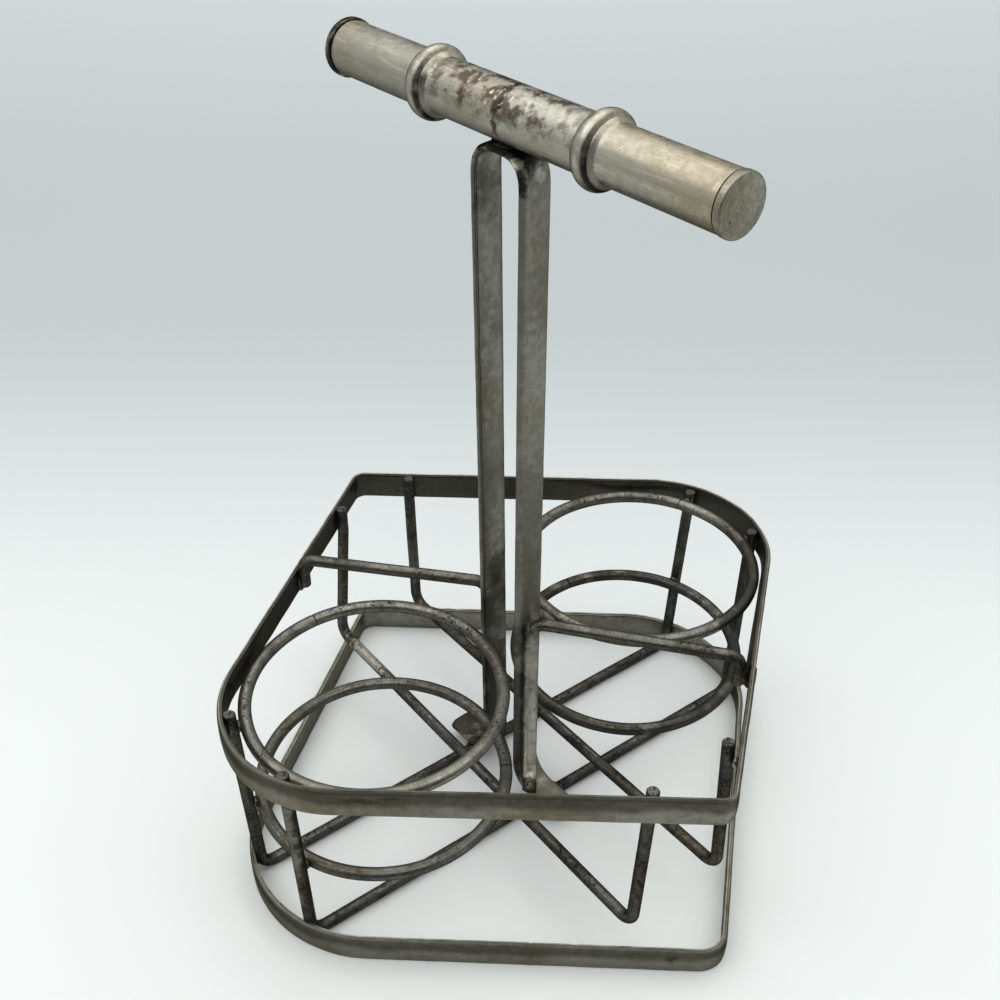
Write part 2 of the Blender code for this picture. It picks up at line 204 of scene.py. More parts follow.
def stain_mask():
    """a patch round a point, with a broken edge"""
    inputs = {"Place": "Vector", "Centre": "Vector", "Reach": "Vector", "Grain Size": "Float"}
    tree, given, result = new_group("stain_mask", "ShaderNodeTree", inputs, {"Mask": "Float"})
    away = given["Place"].with_vector("SUBTRACT", given["Centre"]).with_vector("DIVIDE", given["Reach"])
    distance = away.into("ShaderNodeVectorMath", out="Value", operation="LENGTH")
    rough = given["Place"].cloud(given["Grain Size"], 4.0, 0.7)
    feed(result, {"Mask": (distance + (rough - 0.5) * 3.2).ramp(0.45, 1.05, 1.0, 0.0)})
    return tree


TARNISHED_PLATE = tarnished_plate()
PATCH_MASK = stain_mask()
PIT_BLACK = (0.016, 0.013, 0.011)
RUST = (0.075, 0.052, 0.04)
BARE_STEEL = (0.75, 0.7, 0.58)


def plated_steel(name, bare, film, cover, pits, streaks=0.35, relief=0.0001, stains_and_painted_light=(), shade=None):
    """the tarnished finish in its own colours, with patches as (centre, reach, grain size, colour,
    strength), real stains and also painted shade and painted highlights, and with its last colours, painted
    shade and painted highlights among them, from shade, where a piece has that"""
    material = bpy.data.materials.new(name)
    material.use_nodes = True
    tree = material.node_tree
    place = output_of(tree, "ShaderNodeTexCoord", out="Object")
    grain = output_of(tree, "ShaderNodeAttribute", out="Vector", attribute_name="grain")
    edge = output_of(tree, "ShaderNodeAttribute", out="Fac", attribute_name="worn_edge")
    plate = by_name(new_node(tree, "ShaderNodeGroup", {
        "Place": place, "Grain": grain, "Worn Edge": edge, "Bare": bare, "Film": film, "Film Cover": cover,
        "Pit Cover": pits, "Streaks": streaks}, node_tree=TARNISHED_PLATE))
    colour = plate["Color"]
    # patches: real stains, and on some pieces painted shade and painted highlights
    for centre, reach, size, patch_colour, strength in stains_and_painted_light:
        patch = output_of(tree, "ShaderNodeGroup", {
            "Place": place, "Centre": centre, "Reach": reach, "Grain Size": size}, node_tree=PATCH_MASK)
        colour = (patch * strength).blend(colour, patch_colour)
    if shade:
        colour = shade(colour, place, grain)
    relief_inputs = {"Height": plate["Height"], "Distance": relief, "Strength": 1.0}
    feed(tree.nodes["Principled BSDF"], {
        "Base Color": colour, "Roughness": plate["Roughness"], "Metallic": plate["Metallic"],
        "Normal": output_of(tree, "ShaderNodeBump", relief_inputs), "Specular Tint": (EDGE_TINT,) * 3})
    return material


def fillet(before, corner, after, radius, step):
    """points of the arc that rounds a corner"""
    back = (before - corner).normalized()
    ahead = (after - corner).normalized()
    half_angle = back.angle(ahead) / 2
    setback = radius / tan(half_angle)
    centre = corner + (back + ahead).normalized() * radius / sin(half_angle)
    start = corner + back * setback - centre
    end = corner + ahead * setback - centre
    turn = start.angle(end)
    axis = start.cross(end).normalized()
    count = max(3, ceil(radius * turn / step))
    return [centre + Quaternion(axis, turn * place / count) @ start for place in range(count + 1)]


def straight(start, end, step):
    """points of a straight run, without its ends"""
    count = ceil((end - start).length / step)
    return [start.lerp(end, place / count) for place in range(1, count)]


def sharp_corners(corners):
    """where a rim's straight sides would meet"""
    return [Vector((*corner[:2], 0.0)) for corner in corners]


def rim_outline(corners, seam):
    """points round the outer face in plan, anticlockwise from the seam"""
    sharp = sharp_corners(corners)
    points = []
    for place, corner in enumerate(sharp):
        following = sharp[(place + 1) % len(sharp)]
        arc = fillet(sharp[place - 1], corner, following, corners[place][2], RIM_STEP)
        if points:
            points += straight(points[-1], arc[0], RIM_STEP)
        points += arc
    points += straight(points[-1], points[0], RIM_STEP)
    start = min(range(len(points)), key=lambda place: (points[place] - seam).length)
    return points[start:] + points[:start]


def strip_section(width, thickness, ease):
    """section of flat strip, as (depth, height, how worn), its broad faces slightly crowned"""
    section = []
    for depth, height, start in (
            (ease, ease, 3 * pi / 2), (ease, width - ease, pi / 2), (thickness - ease, width - ease, 0.0),
            (thickness - ease, ease, -pi / 2)):
        for step in range(CORNER_STEPS + 1):
            angle = start - pi / 2 * step / CORNER_STEPS
            wear = sin(pi * (step + 0.6) / (CORNER_STEPS + 1.2))
            section.append((depth + ease * cos(angle), height + ease * sin(angle), wear))
    outer, inner = [], []
    for share in (0.05, 0.16, 0.28, 0.39, 0.5, 0.61, 0.72, 0.84, 0.95):
        rise = STRIP_CROWN * (1 - (2 * share - 1) ** 2)
        along = (width - 2 * ease) * share
        outer.append((section[4][0] - rise, ease + along, 0.0))
        inner.append((section[10][0] + rise, width - ease - along, 0.0))
    return section[:5] + outer + section[5:15] + inner + section[15:]


def placed(name, data):
    """an object in the scene, with its mesh, curve, lamp or camera"""
    thing = bpy.data.objects.new(name, data)
    bpy.context.scene.collection.objects.link(thing)
    return thing


def keep_on_mesh(mesh, name, values, domain="POINT"):
    """a number or a vector for each point or corner of a mesh"""
    is_number = isinstance(values[0], float)
    layer = mesh.attributes.new(name, "FLOAT" if is_number else "FLOAT_VECTOR", domain)
    for item, value in zip(layer.data, values):
        setattr(item, "value" if is_number else "vector", value)


def skin(name, rings, closed, flipped, sharp_angle, material):
    """the skin over rings of points, with its open ends closed flat"""
    count = len(rings[0])
    faces = []
    for span in range(len(rings) if closed else len(rings) - 1):
        this = span * count
        following = (span + 1) % len(rings) * count
        for side in range(count):
            beyond = (side + 1) % count
            faces.append((this + side, following + side, following + beyond, this + beyond))
    if not closed:
        last = (len(rings) - 1) * count
        faces += [tuple(range(count)), tuple(reversed(range(last, last + count)))]
    if flipped:
        faces = [(face[0], *reversed(face[1:])) for face in faces]
    mesh = bpy.data.meshes.new(name)
    mesh.from_pydata([point for ring in rings for point in ring], [], faces)
    mesh.shade_smooth()
    mesh.set_sharp_from_angle(angle=sharp_angle)
    mesh.materials.append(material)
    return placed(name, mesh)


def band(name, stations, section, closed, material):
    """an uneven strip from stations of (place, out, across, length), with its grain and wear kept on it"""
    rings, grain, worn = [], [], []
    for place, out, across, length in stations:
        ring = []
        for depth, height, wear in section:
            point = place - out * depth + across * height
            coarse, fine = [noise.noise(point * scale) for scale in HAND_WORK_SCALES]
            ring.append(point - out * HAND_WORK * (coarse + 0.5 * fine))
            grain.append((length, height, depth))
            worn.append(wear)
        rings.append(ring)
    piece = skin(name, rings, closed, False, BAND_SHARP_ANGLE, material)
    mesh = piece.data
    keep_on_mesh(mesh, "worn_edge", worn)
    count = len(section)
    last = (len(stations) - 1) * count
    run = stations[-1][3] + (stations[-1][0] - stations[0][0]).length
    corner_grain = []
    for face in mesh.polygons:
        closing = closed and min(face.vertices) < count and max(face.vertices) >= last
        for vertex in face.vertices:
            length, height, depth = grain[vertex]
            corner_grain.append((run if closing and vertex < count else length, height, depth))
    keep_on_mesh(mesh, "grain", corner_grain, "CORNER")
    return piece


def lean_at(lean, point):
    """how far in the strip's lower edge stands at a place on the right side"""
    if point.x > 0:
        for (start, first), (end, second) in zip(lean, lean[1:]):
            if start <= point.y <= end:
                return first + (second - first) * (point.y - start) / (end - start)
    return 0.0


def rim(name, corners, seam, bottom, lean):
    """the band, with a low ridge of weld across it where its ends meet"""
    outline = rim_outline(corners, seam)
    stations = []
    length = 0.0
    for place, point in enumerate(outline):
        following = outline[(place + 1) % len(outline)]
        out = (following - outline[place - 1]).normalized().cross(UP)
        ridge = SEAM_RISE * max(0.0, 1.0 - ((point - outline[0]).length / SEAM_WIDTH) ** 2)
        shift = lean_at(lean, point)
        foot = point - out * (STRIP_CROWN + HAND_WORK * HAND_WORK_ROOM - ridge + shift) + UP * bottom
        stations.append((foot, out, UP + out * shift / STRIP_WIDTH, length))
        length += (following - point).length
    return band(name, stations, strip_section(STRIP_WIDTH, STRIP_THICKNESS, STRIP_EASE), True, rim_steel)


def strip_shade(colour, place, grain):
    """painted reflection as a dark band along the upper outer face, and painted shade on the inner face"""
    height, depth = grain.parts()[1:]
    # painted reflection: a dark band along the upper part of the outer face, with a broken lower edge
    level = height + (place.cloud(60.0) - 0.5) * 0.006
    upper = level.ramp(0.0035, 0.0066) * height.ramp(0.0088, 0.0096, 1.0, 0.0)
    upper = upper * depth.ramp(0.0002, 0.0006, 1.0, 0.0)
    colour = (upper * 0.72).blend(colour, (0.08, 0.076, 0.062))
    # painted shade on the inner face: none near the floor, stronger higher up
    inner_shade_height = place.parts()[2].ramp(0.012, 0.05, 0.0, 0.75)
    return (depth.ramp(0.0007, 0.0011) * inner_shade_height).blend(colour, (0.055, 0.05, 0.042))


def seat(piece, node=None):
    """the piece rides with the caddy, in place of its CAD node where it has one"""
    if node:
        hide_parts(node)
    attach(piece, "root")


rim_steel = plated_steel(
    "rim_steel", (0.42, 0.405, 0.34), (0.27, 0.26, 0.215), 0.45, 0.15, streaks=0.25, relief=0.00006,
    stains_and_painted_light=(
        ((-0.0389, -0.0712, 0.069), (0.006, 0.006, 0.001), 900.0, PIT_BLACK, 0.75),
        ((-0.03, -0.0718, 0.07), (0.004, 0.006, 0.0007), 900.0, PIT_BLACK, 0.6),
        ((0.0479, -0.073, 0.006), (0.0025, 0.006, 0.0014), 1100.0, RUST, 0.7),
        ((0.059, -0.07, 0.0682), (0.0022, 0.004, 0.004), 1400.0, BARE_STEEL, 0.6),
    ), shade=strip_shade)
for name, corners, seam, bottom, lean in (
        ("top_rim", TOP_RIM, TOP_RIM_SEAM, TOP_RIM_TOP - STRIP_WIDTH, TOP_RIM_LEAN),
        ("bottom_rim", BOTTOM_RIM, BOTTOM_RIM_SEAM, 0.0, ())):
    seat(rim(name + "_strip", corners, seam, bottom, lean), name)


# The floor wires carry the bottles. Each is one wire bent to a wide U and brazed inside the wide curves of
# both rims, with its ends cut square just under the top edge.
WIRE = 0.0037
WELD_GAP = 0.0003
WIRE_BEND = 0.0048
WIRE_SIDES = 20
WIRE_STEP = 0.0004
WIRE_END_SIZE = 0.84
WIRE_UNEVENNESS = 0.00035
FLOOR_WIRE_HEIGHT = 0.0021
FLOOR_WIRE_TOP_DROP = 0.001
FLOOR_WIRE_ENDS = {
    "left": ((REAR_RIGHT, radians(66.0), radians(64.6)), (FRONT_LEFT, radians(-164.4), radians(-164.0))),
    "right": ((REAR_RIGHT, radians(16.2), radians(14.0)), (FRONT_LEFT, radians(-113.0), radians(-116.9))),
}


def keep_fields(geometry, *fields):
    """a geometry with fields of (kind, name, field) kept on it, all by name"""
    node = new_node(geometry.socket.id_data, "GeometryNodeCaptureAttribute", {0: geometry})
    for kind, name, field in fields:
        node.capture_items.new(kind, name)
        feed(node, {name: field})
    return by_name(node)


def drawn_wire():
    """round wire along a path: its corners bent, its line slightly uneven and the rims of its ends eased"""
    inputs = {"Geometry": "Geometry", "Diameter": "Float", "Bend Radius": "Float", "Unevenness": "Float",
              "Seed": "Float", "End Size": "Float", "Finish": "Material"}
    tree, given, result = new_group("drawn_wire", "GeometryNodeTree", inputs, {"Geometry": "Geometry"})
    bends = {"Radius": given["Bend Radius"], "Count": 9, "Limit Radius": True}
    bent = given["Geometry"].into("GeometryNodeFilletCurve", bends, mode="POLY")
    even = bent.into("GeometryNodeResampleCurve", {"Length": WIRE_STEP}, mode="LENGTH")
    sway = output_of(tree, "ShaderNodeTexNoise", {"W": given["Seed"], "Scale": 34.0, "Detail": 1.0}, "Color",
                     noise_dimensions="4D")
    offset = sway.with_vector("SUBTRACT", (0.5, 0.5, 0.5)).scaled(given["Unevenness"])
    swayed = even.into("GeometryNodeSetPosition", {"Offset": offset})
    along = output_of(tree, "GeometryNodeSplineParameter", out="Length")
    whole = output_of(tree, "GeometryNodeSplineLength", out="Length")
    to_end = along.worked("MINIMUM", whole - along)
    line = keep_fields(swayed, ("FLOAT", "along", along), ("FLOAT", "to_end", to_end))
    circle = output_of(tree, "GeometryNodeCurvePrimitiveCircle", {
        "Resolution": WIRE_SIDES, "Radius": given["Diameter"] * 0.5})
    circle = keep_fields(circle, ("VECTOR", "around", output_of(tree, "GeometryNodeInputPosition")))
    ease = to_end.ramp(0.0, 0.0004, given["End Size"], 1.0)
    wire = line["Geometry"].into("GeometryNodeCurveToMesh", {
        "Profile Curve": circle["Geometry"], "Scale": ease, "Fill Caps": True})
    side, height = circle["around"].parts()[:2]
    grain = line["along"].into("ShaderNodeCombineXYZ", {1: side, 2: height})
    cut = line["to_end"].ramp(0.0, 0.0003, (given["End Size"] - 1.0) * -2.2, 0.0)
    for name, kind, value in (("grain", "FLOAT_VECTOR", grain), ("worn_edge", "FLOAT", cut)):
        wire = wire.into("GeometryNodeStoreNamedAttribute", {"Name": name, "Value": value}, data_type=kind,
                         domain="POINT")
    wire = wire.into("GeometryNodeSetShadeSmooth", {"Shade Smooth": True})
    sharp = output_of(tree, "GeometryNodeInputMeshEdgeAngle").worked("GREATER_THAN", radians(60.0))
    edges = {"Selection": sharp, "Shade Smooth": False}
    wire = wire.into("GeometryNodeSetShadeSmooth", edges, domain="EDGE")
    wire = wire.into("GeometryNodeRealizeInstances")
    feed(result, {0: wire.into("GeometryNodeSetMaterial", {"Material": given["Finish"]})})
    return tree


def grown(name, source, tree, **settings):
    """the plain mesh that a geometry tree makes from an object"""
    modifier = source.modifiers.new("shape", "NODES")
    modifier.node_group = tree
    for socket in tree.interface.items_tree:
        label = socket.name.lower().replace(" ", "_")
        if label in settings:
            modifier[socket.identifier] = settings[label]
    graph = bpy.context.evaluated_depsgraph_get()
    graph.update()
    made = source.evaluated_get(graph)
    mesh = bpy.data.meshes.new_from_object(made, preserve_all_data_layers=True, depsgraph=graph)
    source.modifiers.remove(modifier)
    bpy.data.objects.remove(source)
    mesh.name = name
    return placed(name, mesh)


DRAWN_WIRE = drawn_wire()


def drawn(name, points, diameter, bend, seed, material, end_size=WIRE_END_SIZE, unevenness=WIRE_UNEVENNESS):
    """wire drawn along a path through points"""
    curve = bpy.data.curves.new(name, "CURVE")
    curve.dimensions = "3D"
    spline = curve.splines.new("POLY")
    spline.points.add(len(points) - 1)
    for place, point in zip(spline.points, points):
        place.co = (*point, 1.0)
    return grown(name, placed(name + "_path", curve), DRAWN_WIRE, diameter=diameter, bend_radius=bend,
                 unevenness=unevenness, seed=float(seed), end_size=end_size, finish=material)


def inset_corners(corners, inset):
    """the outline's sharp corners after its sides are moved in"""
    sharp = sharp_corners(corners)
    moved = []
    for place, corner in enumerate(sharp):
        before = (corner - sharp[place - 1]).normalized()
        after = (sharp[(place + 1) % len(sharp)] - corner).normalized()
        inward = (UP.cross(before) + UP.cross(after)).normalized()
        moved.append(corner + inward * inset / cos(before.angle(after) / 2))
    return moved


def curve_centre(corners, place):
    """centre of the curve at one corner of the outline"""
    return inset_corners(corners, corners[place][2])[place]


def floor_wire_point(end, height):
    """middle of an upright of a floor wire at a height"""
    place, top_angle, foot_angle = end
    inset = STRIP_THICKNESS + WELD_GAP + WIRE / 2
    ends = []
    for corners, angle in ((BOTTOM_RIM, foot_angle), (TOP_RIM, top_angle)):
        reach = corners[place][2] - inset
        ends.append(curve_centre(corners, place) + Vector((cos(angle), sin(angle), 0.0)) * reach)
    share = (height - FLOOR_WIRE_HEIGHT) / (TOP_RIM_TOP - FLOOR_WIRE_HEIGHT)
    return ends[0].lerp(ends[1], share) + UP * height


floor_wire_steel = plated_steel(
    "floor_wire_steel", (0.175, 0.169, 0.146), (0.055, 0.053, 0.045), 0.58, 0.68, streaks=0.3,
    stains_and_painted_light=(
        ((0.0147, -0.0312, 0.003), (0.004, 0.006, 0.003), 700.0, BARE_STEEL, 0.45),
        ((-0.0633, -0.0673, 0.035), (0.007, 0.007, 0.04), 120.0, (0.36, 0.35, 0.3), 0.85),
    ))
for seed, (side, (first, second)) in enumerate(FLOOR_WIRE_ENDS.items()):
    top = TOP_RIM_TOP - FLOOR_WIRE_TOP_DROP
    points = [floor_wire_point(first, top), floor_wire_point(first, FLOOR_WIRE_HEIGHT),
              floor_wire_point(second, FLOOR_WIRE_HEIGHT), floor_wire_point(second, top)]
    name = "floor_wire_" + side
    seat(drawn(name + "_wire", points, WIRE, WIRE_BEND, seed, floor_wire_steel), name)


# The shelf wires carry the shakers. They cross above the floor wires, from the front or rear side to the
# left or right one, and are the same wire, bent a little by hand where they meet the rim.
X, Y = 0, 1
SIDES_OF_RIM = {X: (3, 1), Y: (2, 0)}
SHELF_WIRE_SEED = 4
SHELF_WIRE_ENDS = {
    "rear": ((0.0003, X, -0.0386, (-0.0379, 0.0682, 0.0164)),
             (0.0017, Y, -0.0501, (0.0618, -0.0502, 0.0193))),
    "front": ((0.0003, X, 0.0386, (0.0364, -0.0682, 0.0154)),
              (0.0003, Y, 0.0501, (-0.063, 0.0496, 0.017))),
}


def against_side(stand_off, axis, reach):
    """plan place of a wire inside a straight side of the top rim, by its x or y, and the way out"""
    moved = inset_corners(TOP_RIM, STRIP_THICKNESS + stand_off + WIRE / 2)
    corner = SIDES_OF_RIM[axis][reach < 0]
    first, second = moved[corner], moved[(corner + 1) % len(moved)]
    share = (reach - first[axis]) / (second[axis] - first[axis])
    return first.lerp(second, share), (second - first).normalized().cross(UP)


def upright(foot, place, outward, stand_off):
    """top to foot of a shelf wire's end, bent at the rim's lower edge if it would lean into the rim"""
    top = place + UP * (TOP_RIM_TOP - WELD_GAP)
    lean = (foot - top).dot(outward) * STRIP_WIDTH / (top.z - foot.z)
    if lean < stand_off:
        return [top, foot]
    return [top, place + UP * (TOP_RIM_TOP - STRIP_WIDTH), foot]


shelf_wire_steel = plated_steel(
    "shelf_wire_steel", (0.195, 0.188, 0.162), (0.062, 0.06, 0.051), 0.56, 0.72, streaks=0.3,
    stains_and_painted_light=(((-0.0525, 0.0355, 0.018), (0.011, 0.011, 0.004), 700.0, BARE_STEEL, 0.65),))
for seed, (side, ends) in enumerate(SHELF_WIRE_ENDS.items(), SHELF_WIRE_SEED):
    first, second = [upright(Vector(foot), *against_side(stand_off, axis, reach), stand_off)
                     for stand_off, axis, reach, foot in ends]
    name = "shelf_wire_" + side
    piece = drawn(name + "_wire", first + second[::-1], WIRE, WIRE_BEND, seed, shelf_wire_steel)
    seat(piece, name)


# The bottle rings are one turn of slightly thicker wire each, two to a bottle, brazed to the floor wires'
# uprights. The ends of the wire butt together at a joint that was left as it was cut.
RING_WIRE = 0.0039
RING_END_GAP = 0.0004
RING_END_SIZE = 0.96
RING_STEPS = 160
RING_SEED = 10
RINGS = {
    "upper_ring_rear": (0.037, 0.0686, -0.015, radians(63.7)),
    "upper_ring_front": (0.0372, 0.066, 0.02, radians(126.6)),
    "lower_ring_rear": (0.037, 0.0322, 0.022, radians(121.8)),
    "lower_ring_front": (0.0371, 0.0325, 0.02, radians(4.2)),
}


def ring_uprights(name):
    """the two uprights that a ring rests against, at its height"""
    end = 0 if name.endswith("rear") else 1
    return [floor_wire_point(ends[end], RINGS[name][1]) for ends in FLOOR_WIRE_ENDS.values()]


def ring_centre(name):
    """centre of a ring that rests against its two uprights"""
    first, second = ring_uprights(name)
    reach = RINGS[name][0] + RING_WIRE / 2 + WELD_GAP + WIRE / 2
    middle = (first + second) / 2
    across = second - first
    inward = UP.cross(across).normalized()
    if inward.dot(middle) > 0:
        inward = -inward
    return middle + inward * sqrt(reach * reach - across.length_squared / 4)


ring_steel = plated_steel(
    "ring_steel", (0.345, 0.336, 0.29), (0.14, 0.135, 0.115), 0.53, 0.6, streaks=0.26,
    stains_and_painted_light=(
        ((-0.006, -0.0102, 0.066), (0.013, 0.013, 0.006), 380.0, (0.13, 0.09, 0.068), 0.65),
        ((0.03, -0.005, 0.068), (0.016, 0.008, 0.006), 300.0, (0.26, 0.215, 0.16), 0.55),
        ((0.034, 0.028, 0.032), (0.07, 0.07, 0.012), 90.0, (0.06, 0.057, 0.048), 0.85),
        ((0.07, 0.02, 0.0686), (0.02, 0.03, 0.008), 120.0, (0.07, 0.067, 0.057), 0.8),
        ((-0.034, -0.029, 0.0325), (0.07, 0.07, 0.012), 90.0, (0.12, 0.116, 0.098), 0.55),
        ((-0.028, -0.066, 0.066), (0.05, 0.024, 0.012), 90.0, (0.44, 0.422, 0.35), 0.4),
    ))
for seed, (name, (radius, height, rise, joint_angle)) in enumerate(RINGS.items(), RING_SEED):
    centre = ring_centre(name)
    gap = RING_END_GAP / radius
    turn = []
    for step in range(RING_STEPS + 1):
        angle = joint_angle + gap / 2 + (2 * pi - gap) * step / RING_STEPS
        turn.append(centre + Vector((cos(angle), sin(angle), sin(angle) * rise)) * radius)
    piece = drawn(name + "_wire", turn, RING_WIRE, 0.0, seed, ring_steel, RING_END_SIZE)
    seat(piece, name)


# The centre post is one flat strip folded over at the top, where the handle is brazed on. Its legs come down
# side by side and turn outward into rounded feet, which are brazed on top of the floor wires.
FACING = {"left": -1, "right": 1}
POST_FRAME = Matrix.Rotation(radians(-47.0), 3, "Z")
POST_STRIP_WIDTH = 0.0098
POST_STRIP_THICKNESS = 0.0016
POST_FACE_LOW = {"left": 0.0092, "right": 0.007}
POST_FACE_HIGH = {"left": 0.012, "right": 0.0073}
POST_LEG_TOP = 0.209
FOOT_BEND = 0.008
FOOT_BEND_STEPS = 14
FOOT_REACH = {"left": 0.0272, "right": 0.0265}
FOOT_END_ROUND = 0.0022
FOOT_END_STEPS = 8
HANDLE_HEIGHT = 0.2263
TUBE_RADIUS = 0.0071
POST_STEP = 0.001
CROWN_SQUARENESS = 0.72
CROWN_STEPS = 36
POST_EASE = 0.00068
POST_WEAR = 0.25


def at_post(along, across, up):
    """a place or a way by its distance along the handle, across it and up"""
    return POST_FRAME @ Vector((along, across, up))


def floor_wire_offset(side):
    """how far a floor wire passes from the centre line, along the handle"""
    first, second = [floor_wire_point(end, FLOOR_WIRE_HEIGHT) for end in FLOOR_WIRE_ENDS[side]]
    across = POST_FRAME.col[1]
    share = first.dot(across) / (first.dot(across) - second.dot(across))
    return abs(first.lerp(second, share).dot(POST_FRAME.col[0]))


def foot_bend_height(side):
    """height of the centre of a foot's bend, above the floor wire under the foot"""
    reach = FOOT_BEND + POST_STRIP_THICKNESS + WELD_GAP + WIRE / 2
    across = POST_FACE_LOW[side] + FOOT_BEND - floor_wire_offset(side)
    return FLOOR_WIRE_HEIGHT + sqrt(reach * reach - across * across)


def post_face(side, height):
    """distance out to a leg's outer face at a height"""
    start = foot_bend_height(side)
    share = (height - start) / (POST_LEG_TOP - start)
    return POST_FACE_LOW[side] + (POST_FACE_HIGH[side] - POST_FACE_LOW[side]) * share


def post_leg(side):
    """outer line of a leg and foot from the top down, as (out, up, outward normal, half width)"""
    centre_out = POST_FACE_LOW[side] + FOOT_BEND
    centre_up = foot_bend_height(side)
    half_width = POST_STRIP_WIDTH / 2
    line = []
    count = ceil((POST_LEG_TOP - centre_up) / POST_STEP)
    for step in range(count):
        up = POST_LEG_TOP + (centre_up - POST_LEG_TOP) * step / count
        line.append((post_face(side, up), up, (1.0, 0.0), half_width))
    for step in range(FOOT_BEND_STEPS + 1):
        angle = pi / 2 * step / FOOT_BEND_STEPS
        way = (cos(angle), sin(angle))
        line.append((centre_out - FOOT_BEND * way[0], centre_up - FOOT_BEND * way[1], way, half_width))
    foot_up = centre_up - FOOT_BEND
    end = FOOT_REACH[side] - FOOT_END_ROUND
    count = ceil((end - centre_out) / POST_STEP)
    for step in range(1, count):
        line.append((centre_out + (end - centre_out) * step / count, foot_up, (0.0, 1.0), half_width))
    for step in range(FOOT_END_STEPS):
        angle = pi / 2 * step / FOOT_END_STEPS
        narrowing = FOOT_END_ROUND * (1 - cos(angle))
        line.append((end + FOOT_END_ROUND * sin(angle), foot_up, (0.0, 1.0), half_width - narrowing))
    return line


def post_crown():
    """outer line of the crown from the left leg over to the right one, as (along, up, outward normal)"""
    left, right = -POST_FACE_HIGH["left"], POST_FACE_HIGH["right"]
    half_span = (right - left) / 2
    rise = HANDLE_HEIGHT - TUBE_RADIUS - WELD_GAP - POST_LEG_TOP
    line = []
    for step in range(1, CROWN_STEPS):
        angle = pi * step / CROWN_STEPS
        across, up = abs(cos(angle)), sin(angle)
        way = -1.0 if step < CROWN_STEPS / 2 else 1.0
        steepness = 2 - CROWN_SQUARENESS
        normal = Vector((way * across ** steepness / half_span, up ** steepness / rise)).normalized()
        along = (left + right) / 2 + way * half_span * across ** CROWN_SQUARENESS
        line.append((along, POST_LEG_TOP + rise * up ** CROWN_SQUARENESS, normal))
    return line


strap_steel = plated_steel(
    "strap_steel", (0.385, 0.375, 0.325), (0.265, 0.258, 0.222), 0.5, 0.28, streaks=0.15, relief=0.00007,
    stains_and_painted_light=(
        # painted shade: the left leg darkened where it faces the back of the right leg
        ((-0.006, 0.0065, 0.01), (0.01, 0.01, 0.085), 60.0, (0.085, 0.079, 0.068), 0.75),
        ((-0.016, 0.019, 0.005), (0.015, 0.015, 0.01), 160.0, (0.05, 0.036, 0.028), 0.92),
        # painted shade on the top of the left leg, under the handle
        ((-0.0075, 0.0075, 0.206), (0.006, 0.006, 0.009), 260.0, (0.09, 0.084, 0.072), 0.55),
        # painted shade on the right leg's narrow edge at the bend
        ((0.0014, -0.0087, 0.2118), (0.0024, 0.0024, 0.004), 260.0, (0.03, 0.027, 0.022), 0.9),
        # painted shadow on the crown under the tube, over dark flux at the joint
        ((0.0, 0.0, 0.218), (0.012, 0.012, 0.0048), 200.0, (0.026, 0.023, 0.018), 0.9),
        # painted highlight on the right leg's edge near the crown
        ((0.0005, -0.0078, 0.2168), (0.003, 0.003, 0.0018), 260.0, (0.8, 0.76, 0.64), 0.85),
        # painted highlight on the right leg's face near the crown
        ((0.0056, -0.0048, 0.2136), (0.0025, 0.0025, 0.002), 260.0, (0.78, 0.75, 0.64), 0.65),
        ((0.005, -0.0053, 0.162), (0.004, 0.004, 0.015), 420.0, (0.56, 0.53, 0.43), 0.28),
        # painted shade on the strip beside the divider's leg
        ((0.0016, -0.009, 0.034), (0.0052, 0.0052, 0.047), 60.0, (0.085, 0.08, 0.07), 0.8),
    ))
line = [(-out, up, (-way[0], way[1]), half_width) for out, up, way, half_width in post_leg("left")[::-1]]
line += [(*place, POST_STRIP_WIDTH / 2) for place in post_crown()] + post_leg("right")
across = at_post(0.0, -1.0, 0.0)
stations = []
length = 0.0
before = Vector((line[0][0], 0.0, line[0][1]))
for along, up, way, half_width in line:
    point = Vector((along, 0.0, up))
    length += (point - before).length
    before = point
    narrow = half_width / (POST_STRIP_WIDTH / 2)
    edge = POST_FRAME @ point - across * half_width
    stations.append((edge, at_post(way[0], 0.0, way[1]), across * narrow, length))
section = [(depth, height, wear * POST_WEAR)
           for depth, height, wear in strip_section(POST_STRIP_WIDTH, POST_STRIP_THICKNESS, POST_EASE)]
seat(band("handle_strap_fold", stations, section, False, strap_steel), "handle_strap")


# The dividers part the shaker bays. Each is a wire with a short tail turned down inside the rim; it runs to
# the post, turns down the outer face of a leg and follows the foot's bend, brazed all the way.
DIVIDER_RIM_Y = 0.0183
DIVIDER_STAND_OFF = {"left": (0.0003, 0.0003), "right": (0.0015, 0.0021)}
DIVIDER_RIM_HEIGHT = {"left": 0.076, "right": 0.0734}
DIVIDER_POST_HEIGHT = {"left": 0.0765, "right": 0.0742}
DIVIDER_TAIL = 0.0105
DIVIDER_BEND = 0.0036
DIVIDER_END_TURN = radians(75.0)
DIVIDER_END_STEPS = 12
DIVIDER_END_DRIFT = 0.8
DIVIDER_SEED = 20
SEAM_WIDE = 0.0046
SEAM_SINK = 0.0006
SEAM_POINTS = 20
SEAM_TAIL = 0.0022
SEAM_END_SIZE = 0.7
SEAM_UNEVENNESS = 0.0006


